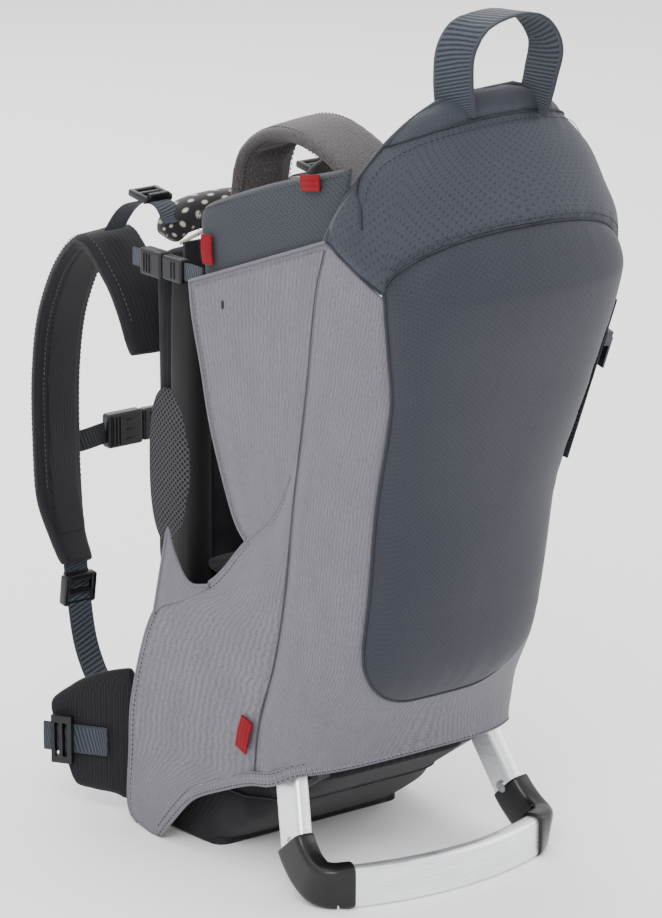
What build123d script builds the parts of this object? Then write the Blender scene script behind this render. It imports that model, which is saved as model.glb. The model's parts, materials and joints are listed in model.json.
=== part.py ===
from build123d import *
import math
import os

# Child carrier backpack on its fold-out stand, in millimetres.
# Origin on the flat base sole. +X right, +Y towards the wearer's back, +Z up.

# ---- driving dimensions ----
side_x = 124            # outer half width of the fabric sides
fabric = 4              # thickness of the light cover
base_top_z = 114        # upper edge of the base, inside the cover
pouch_top_z = 513
pouch_bulge = 12
frame_x = 84            # half spacing of the upright frame tubes
frame_y = 36
tube_r = 6
back_half_x = 95
back_front_y = 78       # face of the back pad that meets the wearer
back_rear_y = 43
back_low_z = 205
back_top_z = 490
base_half_x = 95
base_nose_x = 82        # narrower part of the base between the stand's legs
base_nose_y = -45
sole_front_y = 70
sole_rear_y = -18
sole_t = 6
base_rear_y = -132
strap_x = 85            # centre of each shoulder strap
strap_w = 60
strap_t = 13
webbing_t = 2
pivot_y = -114          # axis on which the stand folds
pivot_z = 104
pin_r = 4
running_gap = 0.05
pivot_x = 95.5          # centre of each stand leg at the pivot
leg_wide = 32
bar_tall = 34
leg_thin = 14
leg_len = 76
leg_lean = 24           # degrees from vertical, towards the rear
leg_splay = 12          # degrees from vertical, outwards
elbow_x = 112
bar_half_x = 105
bar_end_y = -185
bar_mid_y = -207
handle_y = -228
sternum_y = 232
sternum_z = 285
hip_hinge_x = 108
hip_hinge_y = 90

# height, half width, where the side starts to turn, depth of the turned rear, squareness of the turn
rear_levels = [
    (98, 121, -100, 52, 3.5),
    (140, 123, -110, 62, 2.6),
    (190, 124, -130, 75, 2.2),
    (244, 124, -143, 75, 2.2),
    (334, 125, -158, 77, 2.2),
    (422, 127, -176, 88, 2.6),
    (505, 130, -192, 100, 2.6),
    (547, 124, -200, 90, 2.6),
]
# the same for the padded headrest above the cover
head_levels = [
    (515, 134, -195, 103, 2.6),
    (547, 127, -202, 88, 2.5),
    (590, 107, -213, 61, 2.4),
    (625, 80, -223, 40, 2.3),
    (645, 56, -232, 30, 2.6),
    (654, 30, -237, 18, 2.6),
]

os.makedirs("parts", exist_ok=True)


def save(shape, name):
    export_step(shape, "parts/" + name + ".step")


def save_pair(shape, name):
    """A left sub-part and its mirror image on the right."""
    save(shape, name + "_left")
    save(mirror(shape, about=Plane.YZ), name + "_right")


def save_group(shape, name):
    """Both sides of a repeated sub-part in one node."""
    save(Compound(children=[shape, mirror(shape, about=Plane.YZ)]), name)


def block(x0, x1, y0, y1, z0, z1, round_r=0):
    centre = Pos((x0 + x1) / 2, (y0 + y1) / 2, (z0 + z1) / 2)
    shape = centre * Box(x1 - x0, y1 - y0, z1 - z0)
    return fillet(shape.edges(), round_r) if round_r else shape


def side_plate(points, x0, x1):
    """Flat plate of a side outline given as (y, z)."""
    face = make_face(Polyline(*points, close=True))
    return extrude(Plane.YZ.offset(x0) * face, x1 - x0, dir=(1, 0, 0))


def side_band(points, radii, thick, x0, x1):
    """Band that follows (y, z) points with rounded corners."""
    path = FilletPolyline(*points, radius=radii)
    return extrude(Plane.YZ.offset(x0) * trace(path, thick), x1 - x0, dir=(1, 0, 0))


def rear_section(z, half, turn_y, depth, power, grow, open_by):
    """Plan outline of the rounded rear at one height, run on by open_by towards the wearer."""
    steps = 12
    points = []
    for k in range(steps + 1):
        a = math.pi * k / steps
        c = math.cos(a)
        s = abs(math.sin(a))
        x = -(half + grow) * math.copysign(abs(c) ** (2 / power), c)
        points.append((x, turn_y - (depth + grow) * s ** (2 / power), z))
    if open_by == 0:
        return make_face([Spline(*points), Line(points[-1], points[0])])
    near_right = (points[-1][0], turn_y + open_by, z)
    near_left = (points[0][0], turn_y + open_by, z)
    return make_face([Spline(*points), Polyline(points[-1], near_right, near_left, points[0])])


def rear_solid(levels, grow=0, open_by=0):
    return loft([rear_section(*level, grow, open_by) for level in levels])


def stand_turn():
    """Left leg's own frame: at the pivot, with local -Z running down the leg."""
    return Pos(-pivot_x, pivot_y, pivot_z) * Rot(-leg_lean, 0, 0) * Rot(0, leg_splay, 0)


# ---- frame, sheet and base ----
def make_frame_tube():
    low, top, crown = 24, 455, 495
    path = FilletPolyline(
        (-frame_x, frame_y, low), (-frame_x, frame_y, top), (-frame_x + 40, frame_y, crown),
        (frame_x - 40, frame_y, crown), (frame_x, frame_y, top), (frame_x, frame_y, low),
        radius=24)
    ring = Plane(origin=(-frame_x, frame_y, low), z_dir=(0, 0, 1)) * Circle(tube_r)
    return sweep(ring, path=path)


def make_back_sheet():
    sheet = block(-92, 92, 26, 29, 22, 498)
    for z in (120, 220, 320, 420):
        sheet += block(-70, 70, 23, 26, z, z + 6)
    return sheet


def base_outline(inset, top_z=base_top_z):
    return [
        (78 - inset, 4 + sole_t + inset),
        (70 - inset, sole_t + inset),
        (sole_rear_y + inset / 3, sole_t + inset),
        (base_rear_y + inset, 84 + inset / 2),
        (base_rear_y + inset, top_z),
        (78 - inset, top_z),
    ]


def pivot_hole(x0, x1, radius=pin_r):
    length = x1 - x0
    return Pos((x0 + x1) / 2, pivot_y, pivot_z) * Rot(0, 90, 0) * Cylinder(radius, length)


def drill_sides(shell):
    hole = pivot_hole(-90, -60)
    return shell - hole - mirror(hole, about=Plane.YZ)


def base_solid(outline, inset):
    """Base block that narrows between the stand's legs."""
    narrow = base_nose_x - inset
    wide = side_plate(outline, inset - base_half_x, base_half_x - inset)
    wide &= block(-120, 120, base_nose_y + inset, 100, 0, 150)
    return wide + side_plate(outline, -narrow, narrow)


def make_base_cover():
    wall = 3
    outer = base_solid(base_outline(0), 0)
    return drill_sides(outer - base_solid(base_outline(wall, base_top_z + 10), wall))


def make_base_tray():
    inset, wall = 3, 4
    outer = base_solid(base_outline(inset), inset)
    hollow = base_solid(base_outline(inset + wall, base_top_z + 10), inset + wall)
    return drill_sides((outer - hollow) & block(-110, 110, -140, 22, 0, base_top_z - 1))


def make_sole():
    sole = block(-base_half_x, base_half_x, sole_rear_y, sole_front_y, 0, sole_t)
    return fillet(sole.edges().filter_by(Axis.Z), 12)


# ---- fold-out stand ----
def make_bracket():
    """Plate on the base's narrow side that carries the pivot pin."""
    plate = block(-base_nose_x - 2.2, -base_nose_x, pivot_y - 12, pivot_y + 34, pivot_z - 14, pivot_z + 9)
    return plate - pivot_hole(-90, -70)


def make_pin():
    outer_face = -pivot_x - leg_thin / 2 - 2
    shaft = pivot_hole(outer_face, 4 - base_nose_x + 3)
    return shaft + pivot_hole(outer_face - 2.5, outer_face, 7)


def screw_spot():
    return stand_turn() * Pos(0, 0, 10 - leg_len)


def make_leg():
    """Flat oval bar that hangs from the pivot."""
    face = Rectangle(leg_thin, leg_wide)
    face = fillet(face.vertices(), 5.5)
    bar = stand_turn() * Pos(0, 0, -leg_len) * extrude(face, leg_len + 14, dir=(0, 0, 1))
    screw_hole = screw_spot() * Rot(0, 90, 0) * Cylinder(3, 40)
    return bar - pivot_hole(-130, -70, pin_r + running_gap) - screw_hole


def make_screw():
    screw = screw_spot() * Rot(0, 90, 0) * Cylinder(3, leg_thin)
    return screw + screw_spot() * Pos(leg_thin / 2 + 0.75, 0, 0) * Rot(0, 90, 0) * Cylinder(5, 1.5)


def bar_arc():
    return ThreePointArc((-bar_half_x, bar_end_y), (0, bar_mid_y), (bar_half_x, bar_end_y))


def make_bar():
    face = trace(bar_arc(), leg_thin)
    bar = extrude(face, bar_tall, dir=(0, 0, 1))
    long_edges = bar.edges().filter_by(GeomType.CIRCLE)
    return fillet(long_edges, 5)


def make_corner():
    """Moulded elbow that wraps from the side-facing leg to the rear-facing bar."""
    sag = bar_end_y - bar_mid_y
    bar_r = (bar_half_x ** 2 + sag ** 2) / (2 * sag)
    slope = math.asin(bar_half_x / bar_r)
    reach = elbow_x - bar_half_x
    start_y = bar_end_y + reach * math.tan((math.pi / 2 + slope) / 2)
    wrap = TangentArc((-elbow_x, start_y), (-bar_half_x, bar_end_y), tangent=(0, -1))
    run = Line((-elbow_x, start_y + 55), (-elbow_x, start_y))
    elbow = extrude(trace([run, wrap], leg_thin), 60, dir=(0, 0, 1))
    elbow &= side_plate([(-230, 0), (-160, 0), (-142, 8), (-131, 24), (-127, 60), (-230, 60)], -150, -50)
    above_bar = block(-elbow_x + 9, 0, -230, -120, bar_tall, 70)
    above_leg = stand_turn() * Pos(0, 0, 40 - leg_len) * Box(60, 200, 80)
    cut_rear = block(-150, 0, -230, -173, bar_tall, 70)
    return elbow - above_bar - above_leg - cut_rear


# ---- light cover, pouch, headrest ----
side_outline = [
    (82, 1), (77, 21), (69, 110), (55, 157), (29, 215), (14, 269), (12, 214), (-39, 236), (-86, 280),
    (-121, 309), (-145, 355), (-166, 424), (-182, 490), (-188, 490), (-176, 422), (-158, 334),
    (-143, 244), (-130, 190), (-110, 140), (-100, 98), (-100, 84), (-78, 73), (-51, 63), (-17, 48),
    (11, 22), (32, 1)]
inner_side_outline = [
    (-25, 469), (-31, 427), (-44, 364), (-69, 304), (-89, 280), (-118, 262), (-150, 300), (-176, 424),
    (-188, 500), (-194, 538), (-179, 536)]
side_wing_outline = [(-34, 486), (-22, 533), (-45, 545), (-192, 600), (-192, 541)]


def make_pouch(cover):
    half_top, half_mid, half_low = 113, 88, 84
    mid_z, low_z = 320, 145
    face = make_face(Polyline(
        (-half_top, pouch_top_z), (-half_mid, mid_z), (-half_low, low_z), (half_low, low_z),
        (half_mid, mid_z), (half_top, pouch_top_z), close=True))
    lowest = face.vertices().sort_by(Axis.Y)[:2]
    face = fillet(lowest, 58)
    prism = extrude(Plane.XZ.offset(100) * face, 250, dir=(0, -1, 0))
    pieces = (rear_solid(rear_levels, pouch_bulge) - cover) & prism
    return pieces.solids().sort_by(SortBy.VOLUME)[-1]


def make_headrest(cover):
    shell = rear_solid(head_levels)
    hollow_levels = [(513, 116, -190, 75, 2.6)]
    for z, half, turn_y, depth, power in head_levels[1:5]:
        hollow_levels.append((z, half - 16, turn_y + 2, max(depth - 24, 10), power))
    return shell - cover - rear_solid(hollow_levels, 0, 40)


def make_grab_handle():
    width = 38
    path = FilletPolyline((-45, 648), (-43, 700), (-24, 716), (24, 716), (43, 700), (45, 648), radius=14)
    loop = extrude(Plane.XZ * trace(path, webbing_t + 1), width, dir=(0, -1, 0))
    return Pos(0, handle_y, 0) * loop


# ---- child's side ----
def make_harness_pad(rise):
    """Padded shoulder band of the child's harness, arched over the opening."""
    points = [(19, 516 - rise), (8, 562 - rise), (-21, 586 - rise), (-60, 592 - rise), (-100, 580 - rise),
              (-150, 552 - rise)]
    return side_band(points, 22, 12, -50, 10)


def make_seat():
    pan = block(-92, 92, -118, 21, 228, 240, 5)
    return pan


# ---- wearer's side ----
strap_path = [(79, 404), (105, 444), (146, 478), (184, 450), (214, 394), (220, 320), (219, 250),
              (206, 214), (180, 181), (172, 168)]


def make_back_pad():
    return block(-back_half_x, back_half_x, back_rear_y, back_front_y, back_low_z, back_top_z, 9)


def make_shoulder_strap():
    band = side_band(strap_path, 20, strap_t, -strap_x - strap_w / 2, -strap_x + strap_w / 2)
    return band - make_back_pad()


def make_load_lifter():
    path = [(132, 490), (100, 517), (62, 522), (48, 504)]
    return side_band(path, 10, webbing_t, -95, -75)


def make_lifter_buckle():
    return Pos(-85, 82, 525) * Rot(8, 0, 0) * Box(28, 24, 6)


def make_strap_webbing():
    path = [(188, 172), (184, 123), (163, 92), (139, 92)]
    return side_band(path, 14, webbing_t, -97, -73)


def make_strap_adjuster():
    body = Pos(-85, 190, 158) * Rot(6, 0, 0) * Box(34, 14, 26)
    return body - make_strap_webbing() - make_shoulder_strap()


def make_hip_belt():
    return block(-98, 98, 82, 97, 20, 128, 6)


def wing_frame():
    """Frame at the left wing's fold line, with +X running out along the wing."""
    return Pos(-hip_hinge_x, hip_hinge_y, 0) * Rot(0, 0, 122)


def make_hip_wing():
    face = Polyline((3, 22), (6, 126), (50, 118), (68, 70), (60, 18), close=True)
    plate = extrude(Plane.XZ * make_face(face), 15, dir=(0, -1, 0))
    plate = Pos(0, 7.5, 0) * plate
    upright = plate.edges().filter_by(Axis.Y)
    return wing_frame() * fillet(upright, 3)


def make_hip_webbing():
    return wing_frame() * block(14, 66, 7.8, 9.8, 52, 77)


def make_hip_adjuster():
    ring = block(44, 62, 10.2, 16, 44, 85)
    return wing_frame() * (ring - block(48, 52, 9, 17, 50, 79) - block(55, 59, 9, 17, 50, 79))


# ---- sternum strap ----
def make_sternum_slider():
    body = block(-88, -64, sternum_y - 4.2, sternum_y + 5, sternum_z - 13, sternum_z + 13)
    slot = block(-90, -60, sternum_y - 1.5, sternum_y + 1.5, sternum_z - 10.5, sternum_z + 10.5)
    return body - slot


def make_sternum_webbing(x0, x1):
    return block(x0, x1, sternum_y - 1, sternum_y + 1, sternum_z - 10, sternum_z + 10)


def make_sternum_socket():
    body = block(-26, 10, sternum_y - 6, sternum_y + 6, sternum_z - 15, sternum_z + 15, 3)
    mouth = block(-10, 12, sternum_y - 3, sternum_y + 3, sternum_z - 11, sternum_z + 11)
    return body - mouth


def make_sternum_clip():
    body = block(10.5, 30, sternum_y - 5, sternum_y + 5, sternum_z - 14, sternum_z + 14, 3)
    for sign in (-1, 1):
        prong_z = sternum_z + sign * 7.5
        body += block(-8, 12, sternum_y - 2.4, sternum_y + 2.4, prong_z - 3, prong_z + 3)
    return body


# ---- side adjusters at the top of the leg openings ----
clip_x, clip_y, clip_z = -114, 22, 483


def make_side_socket():
    body = block(clip_x - 6, clip_x + 6, clip_y, clip_y + 28, clip_z - 11, clip_z + 11, 2.5)
    return body - block(clip_x - 3, clip_x + 3, clip_y - 2, clip_y + 19, clip_z - 8, clip_z + 8)


def make_side_clip():
    body = block(clip_x - 5, clip_x + 5, clip_y - 26, clip_y - 0.5, clip_z - 10, clip_z + 10, 2.5)
    for sign in (-1, 1):
        prong_z = clip_z + sign * 5
        body += block(clip_x - 2.4, clip_x + 2.4, clip_y - 3, clip_y + 17, prong_z - 2.5, prong_z + 2.5)
    slot = block(clip_x - 1.6, clip_x + 1.6, clip_y - 40, clip_y - 8, clip_z - 8, clip_z + 8)
    return body - slot


def make_side_webbing():
    """Webbing ahead of the clip and behind the socket."""
    webbing = block(clip_x - 1, clip_x + 1, clip_y - 50, clip_y - 25, clip_z - 7.5, clip_z + 7.5)
    return webbing + block(clip_x - 1, clip_x + 1, clip_y + 28, clip_y + 44, clip_z - 7.5, clip_z + 7.5)


# ---- zip on the right of the pouch ----
zip_low = (91.5, -224, 345)
zip_high = (109, -261, 480)


def zip_plane():
    """Local +Z runs up the zip and local +X points away from the pouch."""
    up = Vector(*zip_high) - Vector(*zip_low)
    return Plane(origin=zip_low, x_dir=(1, 0, -up.X / up.Z), z_dir=up.normalized())


def zip_block(x0, x1, y0, y1, z0, z1):
    return zip_plane().location * block(x0, x1, y0, y1, z0, z1)


def zip_length():
    return (Vector(*zip_high) - Vector(*zip_low)).length


def make_zip_pull():
    """Flat tag that hinges on its rounded upper end."""
    hinge_x, hinge_z = 9.3, 106
    hinge = zip_plane().location * Pos(hinge_x, 0, hinge_z) * Rot(90, 0, 0) * Cylinder(1, 8)
    return zip_block(hinge_x - 1, hinge_x + 1, -4, 4, 80, hinge_z) + hinge


def make_tabs():
    """Three sewn loops for one side."""
    seam = block(-127, -124.2, -104, -88, 108, 140)
    wing = block(-121, -117.2, -47, -33, 494, 522)
    crown = block(-121, -117.2, -184, -160, 579, 593)
    return Compound(children=[seam, wing, crown])


def build():
    save(make_frame_tube(), "back_frame_tube")
    save(make_back_sheet(), "back_sheet")
    save(make_base_cover(), "base_cover")
    save(make_base_tray(), "base_tray")
    save(make_sole(), "base_sole")

    save_group(make_bracket(), "hinge_brackets")
    save_group(make_pin(), "pivot_pins")
    save_pair(make_leg(), "stand_leg")
    save_pair(make_corner(), "stand_corner")
    save(make_bar(), "stand_bar")
    save_group(make_screw(), "stand_screws")

    cover = rear_solid(rear_levels)
    pouch = make_pouch(cover)
    headrest = make_headrest(cover)
    save(cover - rear_solid(rear_levels, -fabric, 20), "rear_cover")
    save(pouch, "storage_pouch")
    save(headrest, "headrest")
    save(make_grab_handle() - headrest, "grab_handle")
    save_pair(side_plate(side_outline, -side_x, -side_x + fabric) - cover, "side_cover")
    save_pair(side_plate(inner_side_outline, -side_x + fabric + 0.5, -side_x + fabric + 3.5), "inner_side")
    save_pair(side_plate(side_wing_outline, -117, -108), "side_wing")

    save(make_harness_pad(0), "harness_pad_left")
    save(Pos(66, 0, 0) * make_harness_pad(34), "harness_pad_right")
    save(make_seat(), "seat")
    save(block(-8, 8, -30, -24, 240, 292), "crotch_strap")
    save(block(-22, 22, -34, -20, 292, 322, 4), "harness_buckle")

    save(make_back_pad(), "back_pad")
    save(block(-68, 68, 46, 78, 490.5, 520, 12), "chin_pad")
    save(block(-60, 60, 97.3, 110, 62, 122, 5), "hip_lumbar_pad")
    save_pair(make_shoulder_strap(), "shoulder_strap")
    save_group(make_load_lifter(), "load_lifters")
    save_group(make_lifter_buckle() - make_load_lifter(), "lifter_buckles")
    save_group(make_strap_webbing() - make_shoulder_strap(), "strap_webbing")
    save_group(make_strap_adjuster(), "strap_adjusters")
    save(make_hip_belt(), "hip_belt")
    save_pair(make_hip_wing(), "hip_wing")
    save_pair(make_hip_webbing(), "hip_webbing")
    save_pair(make_hip_adjuster(), "hip_adjuster")

    save_pair(make_sternum_slider(), "sternum_slider")
    save(make_sternum_webbing(-84, -26), "sternum_webbing_left")
    save(make_sternum_webbing(30, 104), "sternum_webbing_right")
    save(make_sternum_socket(), "sternum_socket")
    save(make_sternum_clip(), "sternum_clip")

    save_pair(make_side_socket(), "side_socket")
    save_pair(make_side_clip(), "side_clip")
    save_group(make_side_webbing(), "side_webbing")

    length = zip_length()
    save(zip_block(0, 1.6, -7, 7, 0, length) - pouch - cover, "zip_tape")
    save(zip_block(1.9, 8, -5, 5, 100, 112), "zip_slider")
    save(make_zip_pull(), "zip_pull")
    save_group(make_tabs(), "sewn_tabs")


build()
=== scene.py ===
import json
import math
import bpy
from mathutils import Matrix, Vector, noise


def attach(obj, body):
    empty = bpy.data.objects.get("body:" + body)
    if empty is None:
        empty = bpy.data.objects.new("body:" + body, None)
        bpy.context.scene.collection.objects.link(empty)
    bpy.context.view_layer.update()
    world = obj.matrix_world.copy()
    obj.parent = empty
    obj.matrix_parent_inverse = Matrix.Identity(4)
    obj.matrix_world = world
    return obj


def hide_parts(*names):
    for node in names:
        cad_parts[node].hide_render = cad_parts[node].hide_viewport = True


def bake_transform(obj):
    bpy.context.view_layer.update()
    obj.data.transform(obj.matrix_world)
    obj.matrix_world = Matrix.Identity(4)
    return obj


# Child carrier backpack on its stand. Lengths are in millimetres until they reach a mesh.
# +X right, +Y towards the wearer's back, +Z up.

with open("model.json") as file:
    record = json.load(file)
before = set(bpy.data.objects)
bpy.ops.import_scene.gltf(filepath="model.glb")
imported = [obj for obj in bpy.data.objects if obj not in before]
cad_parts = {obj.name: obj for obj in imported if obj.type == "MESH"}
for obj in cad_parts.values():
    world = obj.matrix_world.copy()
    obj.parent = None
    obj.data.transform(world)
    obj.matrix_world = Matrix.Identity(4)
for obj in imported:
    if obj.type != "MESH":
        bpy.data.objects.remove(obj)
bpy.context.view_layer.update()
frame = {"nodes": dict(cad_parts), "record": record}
mm = 0.001
sides = (("left", -1), ("right", 1))
bodyOf = {}
for bodyName, members in frame["record"]["behaviour"]["bodies"].items():
    for member in members:
        bodyOf[member] = bodyName


# camera, floor and lights

viewSetup = {
    "azimuth": -38, "elevation": 16, "distance": 4.150, "target": (0.0721, 0.0474, 0.2850), "lens": 196.1}
# place, size and power of each lamp, in metres and watts
lightSetup = {
    "key": ((-2.2, -2.0, 2.6), 1.6, 78), "fill": ((2.6, -1.6, 1.6), 2.2, 30),
    "top": ((0.2, 0.4, 3.2), 2.4, 40), "back": ((0.8, 2.8, 1.8), 2.0, 40)}


def backdrop():
    az, el = math.radians(viewSetup["azimuth"]), math.radians(viewSetup["elevation"])
    back = Vector((math.sin(az) * math.cos(el), -math.cos(az) * math.cos(el), math.sin(el)))
    target = Vector(viewSetup["target"])
    bpy.ops.object.camera_add(location=target + back * viewSetup["distance"])
    camera = bpy.context.object
    camera.rotation_euler = back.to_track_quat("Z", "Y").to_euler()
    camera.data.lens = viewSetup["lens"]
    camera.data.sensor_width = 36
    camera.data.clip_end = 50
    bpy.context.scene.camera = camera
    for name, (place, size, power) in lightSetup.items():
        bpy.ops.object.light_add(type="AREA", location=place)
        lamp = bpy.context.object
        lamp.name = name + "Light"
        lamp.data.size = size
        lamp.data.energy = power
        lamp.rotation_euler = (Vector(place) - Vector((0, 0, 0.35))).to_track_quat("Z", "Y").to_euler()
    world = bpy.data.worlds.new("studio")
    world.use_nodes = True
    world.node_tree.nodes["Background"].inputs[0].default_value = (1, 1, 1, 1)
    world.node_tree.nodes["Background"].inputs[1].default_value = 1.45
    bpy.context.scene.world = world
    bpy.ops.mesh.primitive_grid_add(x_subdivisions=12, y_subdivisions=12, size=30, location=(0, 0, 0))
    floor = bpy.context.object
    floor.name = "floor"
    paper = bpy.data.materials.new("palePaper")
    paper.use_nodes = True
    paper.node_tree.nodes["Principled BSDF"].inputs["Base Color"].default_value = (0.97, 0.97, 0.97, 1)
    paper.node_tree.nodes["Principled BSDF"].inputs["Roughness"].default_value = 0.9
    floor.data.materials.append(paper)


backdrop()
print("stage, camera and lights ready")


# materials

def tint(*levels):
    return tuple(c / 255 / 12.92 if c <= 10 else ((c / 255 + 0.055) / 1.055) ** 2.4 for c in levels) + (1,)


def addNode(tree, kind, values=None, links=None, **settings):
    made = tree.nodes.new(kind)
    for key, value in settings.items():
        setattr(made, key, value)
    for key, value in (values or {}).items():
        made.inputs[key].default_value = value
    for key, source in (links or {}).items():
        tree.links.new(source, made.inputs[key])
    return made


def mathNode(tree, operation, first, second):
    made = tree.nodes.new("ShaderNodeMath")
    made.operation = operation
    for index, value in enumerate((first, second)):
        if isinstance(value, (int, float)):
            made.inputs[index].default_value = value
        else:
            tree.links.new(value, made.inputs[index])
    return made.outputs[0]


def times(tree, first, second):
    return mathNode(tree, "MULTIPLY", first, second)


def plus(tree, first, second):
    return mathNode(tree, "ADD", first, second)


def rampNode(tree, source, *stops):
    made = addNode(tree, "ShaderNodeValToRGB", links={"Fac": source})
    while len(made.color_ramp.elements) < len(stops):
        made.color_ramp.elements.new(0.5)
    for element, (place, colour) in zip(made.color_ramp.elements, stops):
        element.position = place
        element.color = colour
    return made.outputs["Color"]


def startMaterial(name, finish, space="UV"):
    material = bpy.data.materials.new(name)
    material.use_nodes = True
    tree = material.node_tree
    shader = tree.nodes["Principled BSDF"]
    matte = finish["roughness"] > 0.5
    shader.inputs["Roughness"].default_value = finish["roughness"]
    shader.inputs["Metallic"].default_value = finish.get("metallic", 0)
    shader.inputs["Sheen Weight"].default_value = finish.get("sheen", 0)
    shader.inputs["Sheen Roughness"].default_value = 0.5
    shader.inputs["Specular IOR Level"].default_value = finish.get("specular", 0.15 if matte else 0.5)
    coords = tree.nodes.new("ShaderNodeTexCoord")
    return material, tree, shader, coords.outputs[finish.get("coords", space)]


def waveOf(tree, coords, period, turn=0, distortion=0.0):
    turned = addNode(tree, "ShaderNodeMapping", links={"Vector": coords})
    turned.inputs["Rotation"].default_value = (0, 0, math.radians(turn))
    values = {"Scale": 0.314 / period, "Distortion": distortion, "Detail": 1}
    wave = addNode(tree, "ShaderNodeTexWave", values, {"Vector": turned.outputs[0]})
    return wave.outputs["Fac"]


def dotsOf(tree, coords, pitch):
    turned = addNode(tree, "ShaderNodeMapping", links={"Vector": coords})
    turned.inputs["Rotation"].default_value = (0, 0, math.radians(45))
    turned.inputs["Scale"].default_value = (1 / pitch, 1 / pitch, 1 / pitch)
    values = {"Scale": 1, "Randomness": 0}
    cells = addNode(tree, "ShaderNodeTexVoronoi", values, {"Vector": turned.outputs[0]})
    return cells.outputs["Distance"]


def noiseOf(tree, coords, size, detail=3, stretch=(1, 1, 1)):
    turned = addNode(tree, "ShaderNodeMapping", links={"Vector": coords})
    turned.inputs["Scale"].default_value = stretch
    return addNode(tree, "ShaderNodeTexNoise", {"Scale": 1 / size, "Detail": detail},
                   {"Vector": turned.outputs[0]}).outputs["Fac"]


def finishMaterial(tree, shader, colour, height, strength, distance):
    tree.links.new(colour, shader.inputs["Base Color"])
    bump = addNode(tree, "ShaderNodeBump", {"Strength": strength, "Distance": distance}, {"Height": height})
    tree.links.new(bump.outputs[0], shader.inputs["Normal"])


def mixColour(tree, amount, first, second, blend="MIX"):
    made = addNode(tree, "ShaderNodeMix", data_type="RGBA", blend_type=blend)
    for socket, value in ((made.inputs[0], amount), (made.inputs[6], first), (made.inputs[7], second)):
        if isinstance(value, (int, float, tuple)):
            socket.default_value = value
        else:
            tree.links.new(value, socket)
    return made.outputs[2]


def wovenCloth(name, finish):
    material, tree, shader, coords = startMaterial(name, finish)
    turn = finish.get("turn", 0)
    warp = waveOf(tree, coords, finish["thread"], turn, 0.4)
    weft = waveOf(tree, coords, finish["thread"], turn + 90, 0.4)
    weave = times(tree, warp, weft)
    slubs = noiseOf(tree, coords, finish.get("slub", 0.002), 4, finish.get("slubStretch", (3, 0.35, 1)))
    fade = noiseOf(tree, coords, 0.06, 2)
    thread = plus(tree, times(tree, weave, 0.55), times(tree, slubs, 0.75))
    if "streak" in finish:
        lines = waveOf(tree, coords, finish["streak"], 0, 3.5)
        drift = noiseOf(tree, coords, 0.011, 2, (1, 0.3, 1))
        thread = plus(tree, thread, times(tree, times(tree, lines, drift), 0.36))
    colour = rampNode(tree, thread, (0.2, finish["low"]), (0.95, finish["high"]))
    tone = rampNode(tree, fade, (0.3, (0.93, 0.93, 0.93, 1)), (0.7, (1, 1, 1, 1)))
    colour = mixColour(tree, 1.0, colour, tone, "MULTIPLY")
    if "dots" in finish:
        dots = dotsOf(tree, coords, finish["dots"])
        spot = rampNode(tree, dots, (0.12, (1, 1, 1, 1)), (0.26, (0, 0, 0, 1)))
        colour = mixColour(tree, spot, colour, finish["dotColour"])
        thread = mathNode(tree, "SUBTRACT", thread, times(tree, spot, finish["dotDepth"]))
    finishMaterial(tree, shader, colour, thread, finish.get("bump", 0.5), 0.0004)
    return material


def holedMesh(name, finish):
    material, tree, shader, coords = startMaterial(name, finish)
    dots = dotsOf(tree, coords, finish["pitch"])
    fuzz = noiseOf(tree, coords, 0.0006, 3)
    hole = rampNode(tree, dots, (0.26, (0, 0, 0, 1)), (0.36, (1, 1, 1, 1)))
    yarn = rampNode(tree, fuzz, (0.3, finish["low"]), (0.7, finish["high"]))
    colour = mixColour(tree, hole, (0.006, 0.006, 0.007, 1), yarn)
    finishMaterial(tree, shader, colour, plus(tree, hole, times(tree, fuzz, 0.3)), 0.9, 0.0009)
    return material


def melangeKnit(name, finish):
    material, tree, shader, coords = startMaterial(name, finish)
    flecks = noiseOf(tree, coords, 0.0011, 6, (1, 2.2, 1))
    rows = waveOf(tree, coords, 0.0022, 90, 2.5)
    colour = rampNode(tree, flecks, (0.3, finish["low"]), (0.5, finish["middle"]), (0.68, finish["high"]))
    height = plus(tree, flecks, times(tree, rows, 0.4))
    finishMaterial(tree, shader, colour, height, 0.7, 0.0006)
    return material


def ribbedWebbing(name, finish):
    material, tree, shader, coords = startMaterial(name, finish)
    ribs = waveOf(tree, coords, finish["rib"], 52, 0.6)
    threads = waveOf(tree, coords, 0.0009, 0, 0.5)
    fuzz = noiseOf(tree, coords, 0.0012, 4)
    height = plus(tree, ribs, times(tree, threads, 0.35))
    mixed = plus(tree, times(tree, height, 0.6), times(tree, fuzz, 0.35))
    colour = rampNode(tree, mixed, (0.25, finish["low"]), (0.85, finish["high"]))
    finishMaterial(tree, shader, colour, height, 0.8, 0.0007)
    return material


def mouldedPlastic(name, finish):
    material, tree, shader, coords = startMaterial(name, finish, "Object")
    grain = noiseOf(tree, coords, finish.get("grain", 0.0006), 3)
    marks = noiseOf(tree, coords, 0.02, 5)
    colour = rampNode(tree, marks, (0.3, finish["low"]), (0.75, finish["high"]))
    rough = rampNode(tree, marks, (0.3, (finish["roughness"] - 0.06,) * 3 + (1,)),
                     (0.8, (finish["roughness"] + 0.1,) * 3 + (1,)))
    tree.links.new(rough, shader.inputs["Roughness"])
    finishMaterial(tree, shader, colour, grain, finish.get("bump", 0.25), 0.0002)
    return material


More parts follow.
